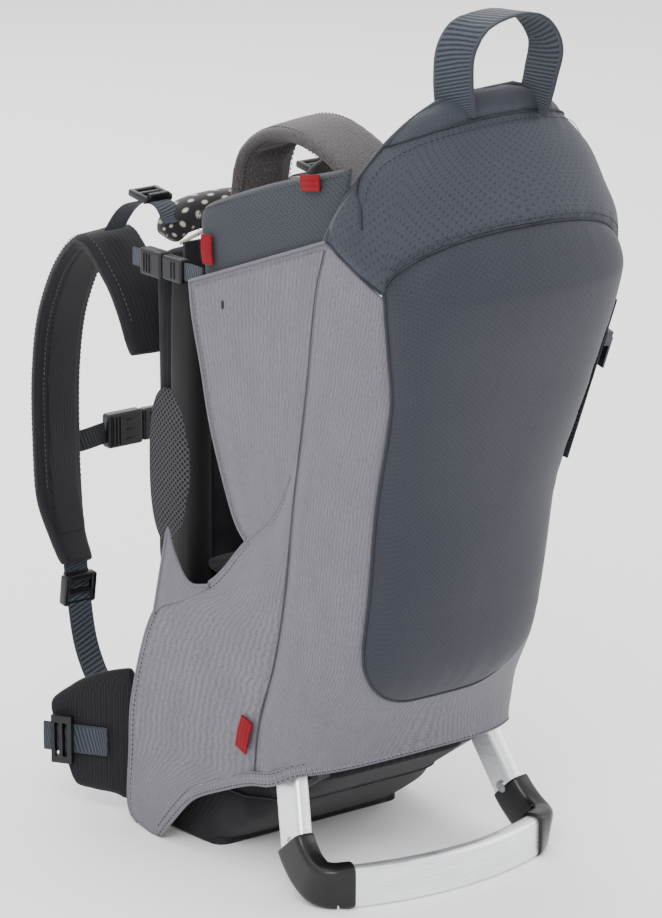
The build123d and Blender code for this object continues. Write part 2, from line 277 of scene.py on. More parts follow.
def brushedMetal(name, finish):
    material, tree, shader, coords = startMaterial(name, finish, "Object")
    grain = noiseOf(tree, coords, 0.0012, 4, finish.get("stretch", (0.06, 0.06, 1)))
    colour = rampNode(tree, grain, (0.3, finish["low"]), (0.7, finish["high"]))
    rough = rampNode(tree, grain, (0.3, (finish["roughness"] - 0.05,) * 3 + (1,)),
                     (0.7, (finish["roughness"] + 0.08,) * 3 + (1,)))
    tree.links.new(rough, shader.inputs["Roughness"])
    finishMaterial(tree, shader, colour, grain, 0.12, 0.0001)
    return material


lightTwill = wovenCloth("lightTwill", {
    "thread": 0.0011, "turn": 45, "low": tint(71, 70, 76), "high": tint(123, 121, 129), "slub": 0.0016,
    "streak": 0.0032, "roughness": 0.88, "sheen": 0.1, "bump": 0.4})
slateRipstop = wovenCloth("slateRipstop", {
    "thread": 0.0008, "low": tint(34, 35, 42), "high": tint(57, 60, 69), "dots": 0.0036, "dotDepth": 0.3,
    "dotColour": tint(35, 37, 44), "roughness": 0.56, "sheen": 0.08, "slub": 0.001, "slubStretch": (1, 1, 1)})
hoodRipstop = wovenCloth("hoodRipstop", {
    "thread": 0.0008, "low": tint(39, 41, 48), "high": tint(65, 68, 78), "dots": 0.0036, "dotDepth": 0.3,
    "dotColour": tint(38, 40, 47), "roughness": 0.56, "sheen": 0.08, "slub": 0.001, "slubStretch": (1, 1, 1)})
slateFleck = wovenCloth("slateFleck", {
    "thread": 0.0012, "low": tint(32, 34, 40), "high": tint(71, 74, 83), "dots": 0.003, "dotDepth": 0.5,
    "dotColour": tint(29, 31, 37), "roughness": 0.8, "sheen": 0.1, "slub": 0.0008, "slubStretch": (1, 1, 1)})
darkCloth = wovenCloth("darkCloth", {
    "thread": 0.0012, "low": tint(17, 16, 19), "high": tint(40, 38, 44), "roughness": 0.82, "sheen": 0.08,
    "slub": 0.0012, "slubStretch": (1, 1, 1)})
padCloth = wovenCloth("padCloth", {
    "thread": 0.0014, "low": tint(16, 15, 18), "high": tint(40, 38, 44), "roughness": 0.85, "sheen": 0.08,
    "coords": "Object", "slub": 0.0012, "slubStretch": (1, 1, 1)})
blackLining = wovenCloth("blackLining", {
    "thread": 0.001, "low": tint(8, 8, 10), "high": tint(22, 22, 25), "roughness": 0.7, "sheen": 0.1})
spottedCloth = wovenCloth("spottedCloth", {
    "thread": 0.0012, "low": tint(25, 23, 25), "high": tint(47, 44, 47), "dots": 0.011, "dotDepth": 0.0,
    "dotColour": tint(180, 175, 161), "roughness": 0.8, "sheen": 0.2})
redCloth = wovenCloth("redCloth", {
    "thread": 0.0011, "low": tint(96, 0, 12), "high": tint(140, 2, 22), "roughness": 0.6})
spacerMesh = holedMesh("spacerMesh", {
    "pitch": 0.0036, "low": tint(39, 39, 42), "high": tint(77, 77, 82), "roughness": 0.75})
brownMelange = melangeKnit("brownMelange", {
    "low": tint(40, 37, 37), "middle": tint(67, 63, 65), "high": tint(97, 92, 92), "roughness": 0.92,
    "sheen": 0.2, "coords": "Object"})
slateWebbing = ribbedWebbing("slateWebbing", {
    "rib": 0.0022, "low": tint(25, 28, 34), "high": tint(67, 74, 84), "roughness": 0.6, "sheen": 0.1})
darkWebbing = ribbedWebbing("darkWebbing", {
    "rib": 0.0022, "low": tint(15, 16, 18), "high": tint(44, 45, 51), "roughness": 0.6, "sheen": 0.1})
paleThread = mouldedPlastic("paleThread", {
    "low": tint(81, 79, 84), "high": tint(126, 123, 129), "roughness": 0.7})
seamThread = mouldedPlastic("seamThread", {
    "low": tint(59, 58, 63), "high": tint(81, 80, 86), "roughness": 0.8})
darkThread = mouldedPlastic("darkThread", {
    "low": tint(29, 30, 35), "high": tint(52, 55, 62), "roughness": 0.7})
creamBinding = mouldedPlastic("creamBinding", {
    "low": tint(160, 153, 138), "high": tint(188, 183, 170), "roughness": 0.75})
blackPlastic = mouldedPlastic("blackPlastic", {
    "low": tint(8, 9, 11), "high": tint(22, 23, 27), "roughness": 0.42, "specular": 0.35})
satinBlack = mouldedPlastic("satinBlack", {
    "low": tint(6, 6, 7), "high": tint(15, 15, 17), "roughness": 0.32, "specular": 0.4, "bump": 0.12})
soleRubber = mouldedPlastic("soleRubber", {
    "low": tint(20, 20, 22), "high": tint(40, 40, 42), "roughness": 0.75, "grain": 0.0015})
sheetPlastic = mouldedPlastic("sheetPlastic", {
    "low": tint(22, 22, 26), "high": tint(42, 42, 48), "roughness": 0.5})
satinAluminium = brushedMetal("satinAluminium", {
    "low": tint(226, 228, 231), "high": tint(246, 248, 250), "roughness": 0.3, "metallic": 0.8})
screwSteel = brushedMetal("screwSteel", {
    "low": tint(120, 122, 126), "high": tint(190, 192, 196), "roughness": 0.3, "metallic": 1,
    "stretch": (1, 1, 1)})
zipSteel = brushedMetal("zipSteel", {
    "low": tint(40, 42, 46), "high": tint(78, 80, 86), "roughness": 0.35, "metallic": 0.9,
    "stretch": (1, 1, 1)})
print("materials ready")


# modelling helpers

def pickOnly(*objs):
    bpy.ops.object.select_all(action="DESELECT")
    for obj in objs:
        obj.select_set(True)
    bpy.context.view_layer.objects.active = objs[0]


def applyModifier(obj, kind, **settings):
    pickOnly(obj)
    bpy.ops.object.modifier_add(type=kind)
    made = obj.modifiers[-1]
    for key, value in settings.items():
        setattr(made, key, value)
    bpy.ops.object.modifier_apply(modifier=made.name)


def editAll(obj, operation, **settings):
    pickOnly(obj)
    bpy.ops.object.mode_set(mode="EDIT")
    bpy.ops.mesh.select_all(action="SELECT")
    operation(**settings)
    bpy.ops.object.mode_set(mode="OBJECT")


def closeSeams(obj):
    editAll(obj, bpy.ops.mesh.remove_doubles, threshold=0.00002)
    editAll(obj, bpy.ops.mesh.dissolve_degenerate, threshold=0.00001)
    editAll(obj, bpy.ops.mesh.normals_make_consistent, inside=False)


def runLength(points):
    return sum((Vector(b) - Vector(a)).length for a, b in zip(points, points[1:]))


def smoothFaces(obj):
    for face in obj.data.polygons:
        face.use_smooth = True


def gridSheet(name, cols, rows, place, cloth):
    bpy.ops.object.select_all(action="DESELECT")
    bpy.ops.mesh.primitive_grid_add(x_subdivisions=cols, y_subdivisions=rows, size=2)
    obj = bpy.context.object
    obj.name = name
    obj.data.name = name
    spots = [((v.co.x + 1) / 2, (v.co.y + 1) / 2) for v in obj.data.vertices]
    for vert, (u, v) in zip(obj.data.vertices, spots):
        vert.co = Vector(place(u, v)) * mm
    marks = [k / 24 for k in range(25)]
    across = runLength([place(mark, 0.5) for mark in marks]) * mm
    along = runLength([place(0.5, mark) for mark in marks]) * mm
    layer = obj.data.uv_layers[0].data
    for loop in obj.data.loops:
        u, v = spots[loop.vertex_index]
        layer[loop.index].uv = (u * across, v * along)
    smoothFaces(obj)
    obj.data.update()
    obj.data.materials.append(cloth)
    return obj


def faceAway(obj, inner):
    inner = Vector(inner) * mm
    lean = sum((f.center - inner).dot(f.normal) * f.area for f in obj.data.polygons)
    if lean < 0:
        editAll(obj, bpy.ops.mesh.flip_normals)
    return obj


def thicken(obj, thick):
    applyModifier(obj, "SOLIDIFY", thickness=thick * mm, offset=-1, use_even_offset=False)
    return obj


def curveOn(values, t):
    span = len(values) - 1
    k = min(int(t * span), span - 1)
    f = t * span - k
    p1, p2 = Vector(values[k]), Vector(values[k + 1])
    p0 = Vector(values[k - 1]) if k > 0 else p1 * 2 - p2
    p3 = Vector(values[k + 2]) if k + 2 <= span else p2 * 2 - p1
    return 0.5 * (p1 * 2 + (p2 - p0) * f + (p0 * 2 - p1 * 5 + p2 * 4 - p3) * f * f
                  + (p1 * 3 - p0 - p2 * 3 + p3) * f ** 3)


def evenPath(values, count):
    steps = 400
    fine = [curveOn(values, k / steps) for k in range(steps + 1)]
    reach = [0]
    for k in range(steps):
        reach.append(reach[-1] + (fine[k + 1] - fine[k]).length)
    out, k = [], 0
    for n in range(count):
        want = reach[-1] * n / (count - 1)
        while k < steps - 1 and reach[k + 1] < want:
            k += 1
        gap = max(reach[k + 1] - reach[k], 1e-9)
        out.append(fine[k].lerp(fine[k + 1], min(1, max(0, (want - reach[k]) / gap))))
    return out


def tableAt(table, x):
    if x <= table[0][0]:
        return list(table[0][1:])
    if x >= table[-1][0]:
        return list(table[-1][1:])
    k = max(i for i in range(len(table) - 1) if table[i][0] <= x)
    a, b = table[k], table[k + 1]
    before = table[k - 1] if k > 0 else a
    after = table[k + 2] if k + 2 < len(table) else b
    gap = b[0] - a[0]
    t = (x - a[0]) / gap
    out = []
    for j in range(1, len(a)):
        slopeA = (b[j] - before[j]) / (b[0] - before[0]) * gap
        slopeB = (after[j] - a[j]) / (after[0] - a[0]) * gap
        out.append((2 * t ** 3 - 3 * t * t + 1) * a[j] + (t ** 3 - 2 * t * t + t) * slopeA
                   + (3 * t * t - 2 * t ** 3) * b[j] + (t ** 3 - t * t) * slopeB)
    return out


def ease(t):
    t = min(1, max(0, t))
    return t * t * (3 - 2 * t)


def bandFrame(points, side, cols):
    path = evenPath(points, cols + 1)
    sides = [Vector(side)] * 2 if not isinstance(side, list) else [Vector(s) for s in side]

    def at(u):
        k = min(int(u * cols), cols - 1)
        centre = path[k].lerp(path[k + 1], u * cols - k)
        along = (path[min(k + 2, cols)] - path[max(k - 1, 0)]).normalized()
        across = sides[0].lerp(sides[-1], u)
        across = (across - along * across.dot(along)).normalized()
        return centre, across, along.cross(across)

    return at


def bandLine(points, side, edge, lift, start=0.03, end=0.97, count=60):
    at = bandFrame(points, side, 90)
    line = []
    for k in range(count + 1):
        centre, across, out = at(start + (end - start) * k / count)
        line.append(centre + across * edge + out * lift)
    return line


def bandShape(name, points, side, width, thick, cloth, cols=80, rows=24, flat=6, ends=10, offset=0):
    at = bandFrame(points, side, cols)

    def place(u, v):
        u = u * 0.35 + (0.5 - 0.5 * math.cos(math.pi * u)) * 0.65
        centre, across, out = at(u)
        wide = width(u) if callable(width) else width
        deep = thick(u) if callable(thick) else thick
        end = max(0, 1 - abs(2 * u - 1) ** ends) ** (1 / ends)
        a = math.tau * v
        c, d = math.cos(a), math.sin(a)
        x = math.copysign(abs(c) ** (2 / flat), c)
        y = math.copysign(abs(d) ** (2 / 2.4), d)
        return centre + across * (x * wide / 2 * end) + out * (y * deep / 2 * end + offset)

    obj = gridSheet(name, cols, rows, place, cloth)
    closeSeams(obj)
    return obj


def webStrap(name, points, side, width, thick, cloth, cols=60):
    return bandShape(name, points, side, width, thick, cloth, cols, 20, 14, 60)


def roundCord(name, points, radius, cloth):
    line = bpy.data.curves.new(name, "CURVE")
    line.dimensions = "3D"
    run = line.splines.new("POLY")
    run.points.add(len(points) - 1)
    for spot, p in zip(run.points, points):
        spot.co = (p[0] * mm, p[1] * mm, p[2] * mm, 1)
    line.bevel_depth = radius * mm
    line.bevel_resolution = 2
    line.use_fill_caps = True
    obj = bpy.data.objects.new(name, line)
    bpy.context.collection.objects.link(obj)
    pickOnly(obj)
    bpy.ops.object.convert(target="MESH")
    obj = bpy.context.object
    obj.data.materials.clear()
    obj.data.materials.append(cloth)
    smoothFaces(obj)
    return obj


def stitchRow(name, runs, thread, pitch=4.4, length=2.9, radius=0.42):
    verts, faces = [], []
    for points in runs:
        points = [Vector(p) for p in points]
        dense = evenPath(points, max(3, int(runLength(points) / pitch) + 1))
        for a, b in zip(dense, dense[1:]):
            middle, along = (a + b) / 2, (b - a).normalized()
            side = along.orthogonal().normalized()
            up = along.cross(side)
            base = len(verts)
            for step, wide in ((-0.5, 0.35), (-0.3, 1), (0.3, 1), (0.5, 0.35)):
                for k in range(6):
                    turn = math.tau * k / 6
                    spread = (side * math.cos(turn) + up * math.sin(turn)) * radius * wide
                    verts.append((middle + along * length * step + spread) * mm)
            for row in (base, base + 6, base + 12):
                for k in range(6):
                    n = (k + 1) % 6
                    faces.append((row + k, row + n, row + 6 + n, row + 6 + k))
            faces.append(tuple(base + k for k in range(5, -1, -1)))
            faces.append(tuple(base + 18 + k for k in range(6)))
    mesh = bpy.data.meshes.new(name)
    mesh.from_pydata(verts, [], faces)
    mesh.materials.append(thread)
    obj = bpy.data.objects.new(name, mesh)
    bpy.context.collection.objects.link(obj)
    smoothFaces(obj)
    return obj


def roundedBlock(name, low, high, edge, plastic, segments=3):
    bpy.ops.object.select_all(action="DESELECT")
    middle = [(a + b) / 2 * mm for a, b in zip(low, high)]
    bpy.ops.mesh.primitive_cube_add(size=1, location=middle)
    obj = bpy.context.object
    obj.name = name
    obj.scale = [(b - a) * mm for a, b in zip(low, high)]
    bpy.ops.object.transform_apply(location=True, rotation=True, scale=True)
    applyModifier(obj, "BEVEL", width=edge * mm, segments=segments, limit_method="NONE")
    bpy.ops.object.shade_smooth_by_angle(angle=math.radians(40))
    obj.data.materials.append(plastic)
    return obj


def joinAll(name, objs):
    pickOnly(*objs)
    bpy.ops.object.join()
    objs[0].name = name
    objs[0].data.name = name
    return objs[0]


def mirrorCopy(obj, name):
    twin = obj.copy()
    twin.data = obj.data.copy()
    twin.name = name
    bpy.context.collection.objects.link(twin)
    twin.data.transform(Matrix.Scale(-1, 4, (1, 0, 0)))
    twin.data.flip_normals()
    return twin


def standFor(obj, node):
    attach(obj, bodyOf[node])
    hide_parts(node)
    return obj


def rideWith(obj, node):
    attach(obj, bodyOf[node])
    return obj


def standPair(name, node, make):
    left = make(name)
    right = mirrorCopy(left, name + "Twin")
    return standFor(joinAll(name, [left, right]), node)


def softened(obj, voxel=5, pressure=4, cap=6):
    applyModifier(obj, "REMESH", mode="VOXEL", voxel_size=voxel * mm)
    applyModifier(obj, "SMOOTH", factor=0.5, iterations=2)
    start = [v.co.copy() for v in obj.data.vertices]
    pickOnly(obj)
    bpy.ops.object.modifier_add(type="CLOTH")
    cloth = obj.modifiers[-1]
    cloth.settings.use_pressure = True
    cloth.settings.uniform_pressure_force = pressure
    cloth.settings.tension_stiffness = 25
    cloth.settings.compression_stiffness = 25
    cloth.settings.effector_weights.gravity = 0
    for number in range(1, 21):
        bpy.context.scene.frame_set(number)
    bpy.ops.object.modifier_apply(modifier=cloth.name)
    bpy.context.scene.frame_set(1)
    for vert, was in zip(obj.data.vertices, start):
        move = vert.co - was
        if move.length > cap * mm:
            vert.co = was + move.normalized() * cap * mm
    applyModifier(obj, "SUBSURF", levels=1, render_levels=1)
    smoothFaces(obj)
    return obj


# rounded rear: height, half width, where the side starts to turn, depth, squareness
coverLevels = [
    (98, 121, -100, 52, 3.5), (140, 123, -110, 62, 2.6), (190, 124, -130, 75, 2.2), (244, 124, -143, 75, 2.2),
    (334, 125, -158, 77, 2.2), (422, 127, -176, 88, 2.6), (505, 130, -192, 100, 2.6),
    (525, 129, -197, 92, 2.55), (547, 126, -202, 83, 2.5), (571, 116, -208, 67, 2.4),
    (596, 102, -215, 53, 2.35), (616, 85, -220, 42, 2.3), (632, 68, -226, 33, 2.3), (643, 52, -231, 26, 2.2),
    (651, 36, -236, 17, 2.2), (655, 20, -239, 9, 2.1), (656, 8, -240, 3, 2)]


def rearSpot(a, z, grow=0):
    half, turn, depth, power = tableAt(coverLevels, z)
    c, s = math.cos(a), abs(math.sin(a))
    x = -(half + grow) * math.copysign(abs(c) ** (2 / power), c)
    return Vector((x, turn - (depth + grow) * s ** (2 / power), z))


def rearAt(x, z, grow=0):
    half, turn, depth, power = tableAt(coverLevels, z)
    c = min(1, abs(x) / half) ** (power / 2)
    return rearSpot(math.acos(math.copysign(c, -x)) if x else math.pi / 2, z, grow)


def archZ(x):
    return 513 + 43 * max(0, 1 - (abs(x) / 113.5) ** 2.6) ** 0.5


seamTurn = 0.576
shoulderZ = 547
crownZ = 656
hemLowZ = 84


def hoodLowZ(a):
    b = min(a, math.pi - a)
    if b < seamTurn:
        return shoulderZ - 34 * (b / seamTurn) ** 1.15
    return archZ(rearSpot(b, 513).x)


def hemZ(a):
    return 98 - 14 * (1 - ease(min(a, math.pi - a) / 0.7)) + 5 * ease((a - 2.2) / 0.9)


def pucker(s, d, size=0.7, reach=16, pitch=9):
    return size * math.exp(-abs(d) / reach) * noise.noise(Vector((s / pitch, d / 60, size)))


def betweenOutlines(first, second, t, share):
    a, b = (curveOn([(y, z, 0) for y, z in outline], t) for outline in (first, second))
    return a.x + (b.x - a.x) * share, a.y + (b.y - a.y) * share


# light cover; its front and rear edges are given as z and y

coverSetup = {"thick": 1.6, "wave": 1.6, "sideX": 118.5, "swell": 3.2, "sideWave": 1.8}
frontEdge = [
    (0, 62), (5, 74), (14, 79), (30, 79), (66, 74), (110, 69), (157, 55), (196, 34), (214, 12), (236, -39),
    (280, -86), (309, -121), (355, -148), (424, -168), (484, -182), (546, -196)]
rearEdge = [
    (0, 30), (22, 10), (48, -18), (63, -50), (75, -78), (84, -99), (98, -101), (140, -110), (190, -130),
    (244, -143), (334, -158), (422, -176), (505, -192), (547, -202)]


def coverRearSpot(u, v, grow=0):
    a = math.pi * u
    low = hemZ(a)
    high = hoodLowZ(a) - 3
    z = low + (high - low) * v
    d = min(u, 1 - u) * 400
    spread = math.exp(-abs(z - low - 30) / 50) * ease((z - low) / 25)
    ripple = coverSetup["wave"] * noise.noise(Vector((u * 9, z / 70, 2))) * spread
    pinch = -1.6 * math.exp(-(d / 7) ** 2) + 1.2 * math.exp(-((d - 16) / 9) ** 2)
    return rearSpot(a, z, grow + ripple + pinch + pucker(u * 420, z - low - 14, 0.7, 16, 14))


def sideSpot(u, v, grow=0, side=-1):
    z = shoulderZ * v
    front, rear = tableAt(frontEdge, z)[0], tableAt(rearEdge, z)[0]
    front = max(front, rear + 2)
    y = front + (rear - front) * u
    half = tableAt(coverLevels, max(z, 98))[0]
    flat = coverSetup["sideX"]
    x = flat + (half - flat) * ease(u) - 3 * ease((110 - z) / 110) * (1 - u)
    swell = coverSetup["swell"] * math.sin(math.pi * min(1, u * 1.02)) * ease((front - rear) / 90)
    wave = coverSetup["sideWave"] * noise.noise(Vector((y / 42, z / 75, 5))) * ease((front - rear) / 80)
    fold = -1.4 * math.exp(-((front - rear) * (1 - u) / 6) ** 2)
    return Vector((side * (x + swell + wave + fold + grow), y, z))


def hemPath(grow):
    left = [sideSpot(1, hemLowZ * (k / 44) / shoulderZ, grow) for k in range(45)]
    rear = [coverRearSpot(k / 60, 0, grow) for k in range(1, 60)]
    right = [Vector((-p.x, p.y, p.z)) for p in reversed(left)]
    run = left + rear + right
    for smoothing in range(8):
        run = run[:1] + [(a + b * 2 + c) / 4 for a, b, c in zip(run, run[1:], run[2:])] + run[-1:]
    return run


rearPanel = gridSheet("rearCoverSheet", 120, 130, coverRearSpot, lightTwill)
faceAway(rearPanel, (0, -120, 300))
thicken(rearPanel, coverSetup["thick"])
standFor(rearPanel, "rear_cover")

for sideName, sign in sides:
    panel = gridSheet("sideCover_" + sideName, 56, 140, lambda u, v: sideSpot(u, v, 0, sign), lightTwill)
    faceAway(panel, (0, -40, 200))
    thicken(panel, coverSetup["thick"])
    standFor(panel, "side_cover_" + sideName)

# small pointed gussets at the lower edge of the leg openings, given as y and z

gussetLow = [(34, 192), (20, 202), (-4, 212), (-41, 233)]
gussetHigh = [(14, 269), (5, 248), (-12, 229), (-41, 234)]


def gussetSpot(u, v, sign):
    y, z = betweenOutlines(gussetLow, gussetHigh, u, v)
    return Vector((sign * (119.5 + 1.4 * (1 - v) + 0.8 * math.sin(y / 9)), y, z))


for sideName, sign in sides:
    gusset = gridSheet("sideGusset_" + sideName, 40, 24, lambda u, v: gussetSpot(u, v, sign), lightTwill)
    faceAway(gusset, (0, 0, 230))
    thicken(gusset, coverSetup["thick"])
    node = "side_cover_" + sideName
    rideWith(gusset, node)
    edge = [gussetSpot(0, k / 20, sign) for k in range(21)]
    edge += [gussetSpot(k / 30, 1, sign) for k in range(1, 31)]
    rideWith(roundCord("gussetEdge_" + sideName, edge, 1.4, lightTwill), node)
    for part, low, high in (("low", 2, 196), ("high", 236, 350)):
        edge = [sideSpot(0, z / shoulderZ, -0.6, sign) for z in range(low, high, 4)]
        rideWith(roundCord("sideEdge_" + part + "_" + sideName, edge, 1.5, lightTwill), node)
print("light cover ready")

# bound hem, seams and stitching of the cover

hemSetup = {"wide": 12, "thick": 1.6, "out": 1.3, "middle": 5.5, "stitches": (1.6, 10.2)}
hemRun = [p + Vector((0, 0, hemSetup["middle"])) for p in hemPath(hemSetup["out"])]
hemBand = bandShape("coverHem", hemRun, (0, 0, 1), hemSetup["wide"], hemSetup["thick"], lightTwill,
                    220, 14, 8, 60)
rideWith(hemBand, "rear_cover")
rows = [[p + Vector((0, 0, lift)) for p in hemPath(hemSetup["out"] + 1)] for lift in hemSetup["stitches"]]
for sideName, sign in sides:
    for inward, low, high in ((Vector((0, -5, 0)), 6, 205), (Vector((0, -2, -4.5)), 236, 340)):
        rows.append([sideSpot(0, z / shoulderZ, 0.9, sign) + inward for z in range(low, high, 6)])
rideWith(stitchRow("coverStitches", rows, seamThread), "rear_cover")
for sideName, sign in sides:
    line = []
    for z in range(hemLowZ, shoulderZ - 1, 6):
        line.append(Vector((sign * (tableAt(coverLevels, z)[0] + 0.1), tableAt(rearEdge, z)[0], z)))
    rideWith(roundCord("cornerSeam_" + sideName, line, 0.6, seamThread), "rear_cover")

# inner side panels

innerSetup = {"x": 117.5, "thick": 1.6, "bow": 3.4}
innerFront = [(-118, 262), (-89, 280), (-68, 304), (-42, 366), (-27, 428), (-20, 480)]
innerRear = [(-140, 262), (-150, 290), (-156, 330), (-170, 400), (-184, 470), (-198, 546)]


def innerSpot(u, v, sign, grow=0):
    y, z = betweenOutlines(innerFront, innerRear, v, u)
    sag = 1.4 * noise.noise(Vector((y / 40, z / 80, 11))) + 2.0 * math.sin(math.pi * u)
    bow = innerSetup["bow"] * ease((v - 0.7) / 0.25) * (1 - u) ** 2
    return Vector((sign * (innerSetup["x"] + sag * 0.6 + bow + grow), y, z))


for sideName, sign in sides:
    node = "inner_side_" + sideName
    panel = gridSheet("innerSide_" + sideName, 48, 72, lambda u, v: innerSpot(u, v, sign), lightTwill)
    faceAway(panel, (0, -100, 400))
    thicken(panel, innerSetup["thick"])
    standFor(panel, node)
    front = [innerSpot(0, k / 40, sign, 1) + Vector((0, -4, 0)) for k in range(2, 40)]
    top = [innerSpot(k / 30, 1, sign, 1) + Vector((0, 0, -5)) for k in range(1, 29)]
    tack = [(sign * 121, -62, z) for z in (466, 472)]
    rideWith(stitchRow("innerStitches_" + sideName, [front, top], paleThread), node)
    rideWith(roundCord("barTack_" + sideName, tack, 1.0, darkThread), node)
    edge = [innerSpot(0, k / 40, sign) for k in range(41)]
    edge += [innerSpot(k / 30, 1, sign) for k in range(1, 31)]
    rideWith(roundCord("innerEdge_" + sideName, edge, 1.5, lightTwill), node)
print("inner sides ready")

# storage pouch

pouchSetup = {"bulge": 10, "crown": 5, "corner": 58, "half": 84, "low": 157, "thick": 3}
pouchWidth = [(146, 84), (204, 85), (320, 88), (422, 97), (470, 107), (513, 113.5), (560, 113.5)]


def pouchSpot(u, v, grow=0):
    s = 2 * u - 1
    corner, half = pouchSetup["corner"], pouchSetup["half"]
    wide = tableAt(pouchWidth, 146 + 360 * v)[0]
    x = s * wide
    dip = max(0, (abs(s) * half - (half - corner)) / corner)
    low = pouchSetup["low"] + corner * (1 - math.sqrt(max(0, 1 - dip * dip)))
    z = low + (archZ(x) - low) * v
    x = s * tableAt(pouchWidth, z)[0]
    fromSide = (1 - abs(s)) * wide
    fromLow = z - low
    fromTop = archZ(x) - z
    rim = (1 - math.exp(-fromSide / 9)) * (1 - math.exp(-fromLow / 9)) * (1 - math.exp(-fromTop / 7))
    crown = (1 - s * s) * math.sin(math.pi * min(1, max(0, (z - 150) / 400)))
    crease = pucker(z, fromSide, 1.2, 15, 11) + pucker(x, fromLow, 1.4, 18, 10)
    crease += pucker(x, fromTop, 1, 12, 10)
    slack = 1.2 * noise.noise(Vector((x / 60, z / 90, 7)))
    puff = rim * (pouchSetup["bulge"] + pouchSetup["crown"] * crown + crease + slack)
    return rearAt(x, z, 1.2 + puff + grow)


pouch = gridSheet("storagePouchShell", 110, 150, pouchSpot, slateRipstop)
faceAway(pouch, (0, -120, 340))
thicken(pouch, pouchSetup["thick"])
standFor(pouch, "storage_pouch")
leftEdge = [pouchSpot(0, v / 60, 0.6) for v in range(60, -1, -1)]
lowEdge = [pouchSpot(u / 70, 0, 0.6) for u in range(1, 70)]
rightEdge = [pouchSpot(1, v / 60, 0.6) for v in range(0, 61)]
pouchSeam = roundCord("pouchEdgeSeam", leftEdge + lowEdge + rightEdge, 1.3, slateRipstop)
rideWith(pouchSeam, "storage_pouch")
print("pouch ready")

# padded headrest above it

hoodSetup = {"puff": 5, "thick": 14}
crossSeam = [
    (-120, 549), (-104, 595), (-78, 622), (-42, 635), (0, 639), (42, 635), (78, 622), (104, 595), (120, 549)]


def crossSeamZ(x):
    return tableAt(crossSeam, max(-119, min(119, x)))[0]


def hoodSpot(u, v):
    a = math.pi * u
    low = hoodLowZ(a)
    t = 1 - (1 - v) ** 1.7
    z = low + (crownZ - low) * t
    spot = rearSpot(a, z)
    fromLow = z - low
    seamGap = crossSeamZ(spot.x) - z
    puff = hoodSetup["puff"] * (1 - math.exp(-fromLow / 8)) * (1 - 0.75 * math.exp(-(seamGap / 7) ** 2))
    puff += pucker(spot.x, fromLow, 1.2, 14, 10) + pucker(spot.x, seamGap, 1.2, 12, 9)
    fade = 1 - ease((z - 640) / 16)
    return rearSpot(a, z, (1.2 + puff) * fade)


hood = gridSheet("headrestShell", 120, 90, hoodSpot, hoodRipstop)
closeSeams(hood)
faceAway(hood, (0, -200, 540))
thicken(hood, hoodSetup["thick"])
standFor(hood, "headrest")
rimLine = [rearSpot(0, z, 0.5) for z in range(547, 655, 4)]
rimLine += [rearSpot(math.pi, z, 0.5) for z in range(654, 546, -4)]
rim = roundCord("headrestRim", [p + Vector((0, 1, 0)) for p in rimLine], 3.0, hoodRipstop)
rideWith(rim, "headrest")
archLine = [rearAt(x, archZ(x), 2.2) for x in range(-112, 113, 4)]
rideWith(roundCord("pouchTopSeam", archLine, 1.2, darkThread), "headrest")
crossLine = [rearAt(x, crossSeamZ(x), 3.4) for x in range(-116, 117, 4)]
rideWith(roundCord("headrestSeam", crossLine, 0.9, darkThread), "headrest")
above = [rearAt(x, archZ(x) + 5, 5.5) for x in range(-108, 109, 4)]
beyond = [rearAt(x, crossSeamZ(x) - 5, 6.0) for x in range(-108, 109, 4)]
rideWith(stitchRow("headrestStitches", [above, beyond], darkThread), "headrest")
for sideName, sign in sides:
    turns = [k / 20 * seamTurn for k in range(21)]
    corner = [rearSpot(turn if sign < 0 else math.pi - turn, hoodLowZ(turn), 1.5) for turn in turns]
    rideWith(roundCord("headrestCorner_" + sideName, corner, 1.1, darkThread), "headrest")
print("headrest ready")

# grab handle

handleSetup = {"wide": 39, "thick": 2.6}
handlePath = [
    (-36, -244, 638), (-38, -243, 666), (-36, -244, 690), (-24, -249, 708), (2, -254, 715), (24, -258, 710),
    (37, -261, 690), (37, -256, 664), (34, -250, 636)]
handle = webStrap("grabHandleWeb", handlePath, [(0.25, -1, 0), (-0.05, -1, 0.1)], handleSetup["wide"],
                  handleSetup["thick"], slateWebbing, 90)
standFor(handle, "grab_handle")

# side wings

wingSetup = {"thick": 8, "x": 111.5}
wingLow = [(-30, 478), (-70, 490), (-130, 510), (-200, 536)]
wingHigh = [(-24, 535), (-42, 547), (-120, 576), (-214, 604)]


def wingPad(name, sign):
    def place(u, v):
        top = v < 0.5
        w = v * 2 if top else (1 - v) * 2
        y, z = betweenOutlines(wingLow, wingHigh, u, w)
        edge = (max(0, 1 - abs(2 * u - 1) ** 12) * max(0, 1 - abs(2 * w - 1) ** 6)) ** 0.5
        out = edge * wingSetup["thick"] / 2 * (1 if top else -1)
        return Vector((sign * (wingSetup["x"] + out + math.sin(math.pi * u)), y, z))

    obj = gridSheet(name, 60, 40, place, slateFleck)
    closeSeams(obj)
    return obj


for sideName, sign in sides:
    wing = wingPad("sideWingPad_" + sideName, sign)
    standFor(wing, "side_wing_" + sideName)
    trim = [(sign * 115.4, y, z) for y, z in ((-27, 497), (-24, 528), (-36, 541), (-120, 570), (-206, 597))]
    rideWith(stitchRow("wingStitches_" + sideName, [trim], darkThread), "side_wing_" + sideName)
print("wings ready")

# child's shoulder bands

